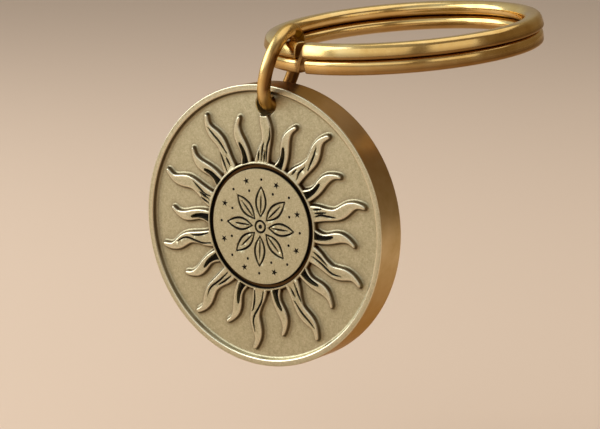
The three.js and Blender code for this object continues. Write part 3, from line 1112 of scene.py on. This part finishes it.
jump_middle = (low + high) / 2 / MM + Vector((0, 0, JUMP_LIFT))
jump_ring = wire_piece(
    "jump_wire",
    polished_brass("drawn_brass", DRAWN_ROUGHNESS, DRAWN_GRAIN, DRAWN_GLANCE),
    np.vstack(ring_points),
    np.vstack(ring_normals),
    JUMP_SIDES,
    ways,
    jump_turn,
    jump_middle,
    np.concatenate(painted_shade),
    JUMP_END_DARK,
    flip=False,
)
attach(jump_ring, "jump_ring")
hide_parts("jump_ring")

# The split ring
split_mean = (SPLIT_DIAMETER - SPLIT_WIDTH) / 2
half_height = SPLIT_TURN_HEIGHT / 2
layer = half_height + SPLIT_TURN_GAP / 2
crank_from = CRANK_AT - CRANK_SPAN / 2
crank_to = CRANK_AT + CRANK_SPAN / 2
first = crank_to + END_GAP
final = crank_from + 2 * FULL_TURN - END_GAP


def split_section(lean):
    """The wire's section: its outer face flat and leaning in towards the top, its inner face rounder."""
    made = []
    for i in range(SPLIT_SIDES):
        a = FULL_TURN * i / SPLIT_SIDES
        c, s = math.cos(a), math.sin(a)
        power = OUTER_TOP_POWER if s > 0 else OUTER_FOOT_POWER
        if c < 0:
            power = INNER_POWER
        rise = math.copysign(abs(s) ** (2 / power), s) * half_height
        reach = math.copysign(abs(c) ** (2 / power), c) * SPLIT_WIDTH / 2
        made.append((reach - lean * rise * max(c, 0.0), rise))
    made = np.array(made)
    ahead = np.roll(made, -1, axis=0) - np.roll(made, 1, axis=0)
    normal = np.column_stack([ahead[:, 1], -ahead[:, 0]])
    return made, normal / np.linalg.norm(normal, axis=1)[:, None]


def layer_height(angle):
    """Height of the wire's middle: the lower turn, then the crank, then the upper turn."""
    t = min(max((angle - (crank_from + FULL_TURN)) / CRANK_SPAN, 0), 1)
    return -layer * math.cos(math.pi * t)


# Its painted shade: under each turn, more at the ring's back, and on the crank and the cut ends
UNDER_DARK = 0.68
UNDER_DARK_BACK = 0.17
UNDER_GAIN = 3
UPPER_UNDER_START = 0.8
LOWER_UNDER_START = -0.3
CRANK_DARK = 0.75
CRANK_DARK_SPAN = CRANK_SPAN * 0.8
CRANK_DARK_FADE = CRANK_SPAN * 0.3
# Painted shade on the cut ends
SPLIT_END_DARK = 0.85
lower_section, lower_normal = split_section(LOWER_LEAN)
upper_section, upper_normal = split_section(UPPER_LEAN)
foot_side = -lower_section[:, 1] / half_height * UNDER_GAIN
crank_angles = np.linspace(crank_from + FULL_TURN, crank_to + FULL_TURN, CRANK_STEPS)
bevel = END_ROUND / split_mean * (1 - np.cos(np.linspace(0, math.pi / 2, END_STEPS)))
angles = np.linspace(first, final, SPLIT_STEPS)
angles = np.unique(np.concatenate([angles, crank_angles, first + bevel, final - bevel]))
ring_points = []
ring_normals = []
painted_shade = []
for angle in angles:
    height = layer_height(angle)
    rise = layer_height(angle + SLOPE_STEP) - layer_height(angle - SLOPE_STEP)
    climb = rise / (2 * SLOPE_STEP) / split_mean
    to_end = min(angle - first, final - angle) * split_mean
    reach = 1 - min(to_end, END_ROUND) / END_ROUND
    share = 0.5 + 0.5 * height / layer
    section_normals = lower_normal + share * (upper_normal - lower_normal)
    section_normals = section_normals / np.linalg.norm(section_normals, axis=1)[:, None]
    section = lower_section + share * (upper_section - lower_section)
    section = section - section_normals * END_ROUND * (1 - math.sqrt(1 - reach**2))
    c, s = math.cos(angle), math.sin(angle)
    radius = split_mean + section[:, 0]
    ring_points.append(np.column_stack([radius * c, radius * s, height + section[:, 1]]))
    out, up = section_normals.T
    normal = np.column_stack([out * c + up * climb * s, out * s - up * climb * c, up])
    ring_normals.append(normal / np.linalg.norm(normal, axis=1)[:, None])
    to_crank = abs(angle - CRANK_AT - FULL_TURN)
    on_crank = np.clip((CRANK_DARK_SPAN - to_crank) / CRANK_DARK_FADE, 0, 1)
    shaded = UNDER_DARK + UNDER_DARK_BACK * max(math.sin(angle - CRANK_AT), 0)
    start = UPPER_UNDER_START if angle > CRANK_AT + FULL_TURN else LOWER_UNDER_START
    # Painted shade under each turn and on the crank
    painted_shade.append(np.maximum(shaded * np.clip(foot_side - start, 0, 1), CRANK_DARK * on_crank))
ways = [np.array([-math.sin(a), math.cos(a), 0]) * end for a, end in ((angles[0], -1), (angles[-1], 1))]
split_turn = Matrix.Rotation(SPLIT_TILT_X, 3, "X") @ Matrix.Rotation(SPLIT_TILT_Y, 3, "Y")
split_ring = wire_piece(
    "split_wire",
    polished_brass("bright_brass", BRIGHT_ROUGHNESS, BRIGHT_GRAIN, BRIGHT_GLANCE),
    np.vstack(ring_points),
    np.vstack(ring_normals),
    SPLIT_SIDES,
    ways,
    split_turn,
    (0, 0, SPLIT_LIFT),
    np.concatenate(painted_shade),
    SPLIT_END_DARK,
    flip=True,
)
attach(split_ring, "split_ring")
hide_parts("split_ring")

# Floor
FLOOR_DROP = 14.0
FLOOR_REACH = 3000.0
FLOOR_TONE = (0.75, 0.58, 0.44, 1)
FLOOR_ROUGHNESS = 0.9
FLOOR_SHINE = 0.1
floor_z = (cad_low.z / MM - FLOOR_DROP) * MM
mesh = bpy.data.meshes.new("floor")
r = FLOOR_REACH * MM
corners = [(-r, -r, floor_z), (r, -r, floor_z), (r, r, floor_z), (-r, r, floor_z)]
mesh.from_pydata(corners, [], [(0, 1, 2, 3)])
floor = bpy.data.objects.new("floor", mesh)
bpy.context.scene.collection.objects.link(floor)
floor_look, _, _, shader = material("pale_floor")
shader.inputs["Base Color"].default_value = FLOOR_TONE
shader.inputs["Roughness"].default_value = FLOOR_ROUGHNESS
shader.inputs["Specular IOR Level"].default_value = FLOOR_SHINE
mesh.materials.append(floor_look)
floor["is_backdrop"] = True

# Room light: bright from the window's side, dim and warm from the other
LIGHT_SIDE = Vector((-0.86, -0.32, 0.4))
ROOM_STOPS = [(0.25, (0.36, 0.25, 0.14)), (0.52, (0.46, 0.39, 0.31)), (0.9, (1.0, 1.08, 1.14))]
ROOM_STRENGTH = 0.6
world = bpy.data.worlds.new("soft_room")
bpy.context.scene.world = world
world.use_nodes = True
nodes = world.node_tree.nodes
links = world.node_tree.links
dot = nodes.new("ShaderNodeVectorMath")
dot.operation = "DOT_PRODUCT"
dot.inputs[1].default_value = LIGHT_SIDE.normalized()
links.new(nodes.new("ShaderNodeTexCoord").outputs["Generated"], dot.inputs[0])
room_share = spread(nodes, links, dot.outputs["Value"], 0, 1, (-1, 1))
links.new(ramp(nodes, links, room_share, ROOM_STOPS), nodes["Background"].inputs["Color"])
nodes["Background"].inputs["Strength"].default_value = ROOM_STRENGTH

# Lamps: name, place, size across and up, power in watts, and colour
LAMPS = [
    ("window", (-290, -170, 155), (330, 330), 1.12, (0.96, 0.98, 1.0)),
    ("front_fill", (10, -430, 170), (560, 240), 0.27, (1.0, 0.96, 0.9)),
    ("right_fill", (370, -130, 130), (300, 220), 0.15, (1.0, 0.95, 0.86)),
    ("top_fill", (40, 110, 350), (420, 420), 0.5, (1.0, 0.98, 0.95)),
]
for name, place, size, power, colour in LAMPS:
    light = bpy.data.lights.new(name, "AREA")
    light.shape = "RECTANGLE"
    light.size = size[0] * MM
    light.size_y = size[1] * MM
    light.energy = power
    light.color = colour
    lamp = bpy.data.objects.new(name, light)
    bpy.context.scene.collection.objects.link(lamp)
    lamp.location = Vector(place) * MM
    lamp.rotation_mode = "QUATERNION"
    lamp.rotation_quaternion = (Vector(centre) - Vector(place)).to_track_quat("-Z", "Y")

# Camera: where it stands from the medallion's middle, and where its right side and its lens point
CAMERA_FROM_DISC = Vector((118.009, -169.794, 43.702))
CAMERA_RIGHT = Vector((0.82636, 0.56258, 0.0253))
CAMERA_AIM = Vector((-0.54693, 0.81247, -0.20188))
SENSOR_WIDTH = 36.0
FOCAL_SHARE = 2000 / 600
camera_data = bpy.data.cameras.new("camera")
camera_data.sensor_width = SENSOR_WIDTH
camera_data.lens = SENSOR_WIDTH * FOCAL_SHARE
camera_data.clip_start = 5 * MM
camera_data.clip_end = 10.0
camera = bpy.data.objects.new("camera", camera_data)
bpy.context.scene.collection.objects.link(camera)
camera.location = (Vector(centre) + CAMERA_FROM_DISC) * MM
camera_up = CAMERA_RIGHT.cross(CAMERA_AIM).normalized()
camera_right = CAMERA_AIM.cross(camera_up).normalized()
camera_turn = Matrix((camera_right, camera_up, -CAMERA_AIM.normalized())).transposed()
camera.rotation_mode = "QUATERNION"
camera.rotation_quaternion = camera_turn.to_quaternion()
bpy.context.scene.camera = camera
bpy.context.scene.view_settings.view_transform = "Standard"

low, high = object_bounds()
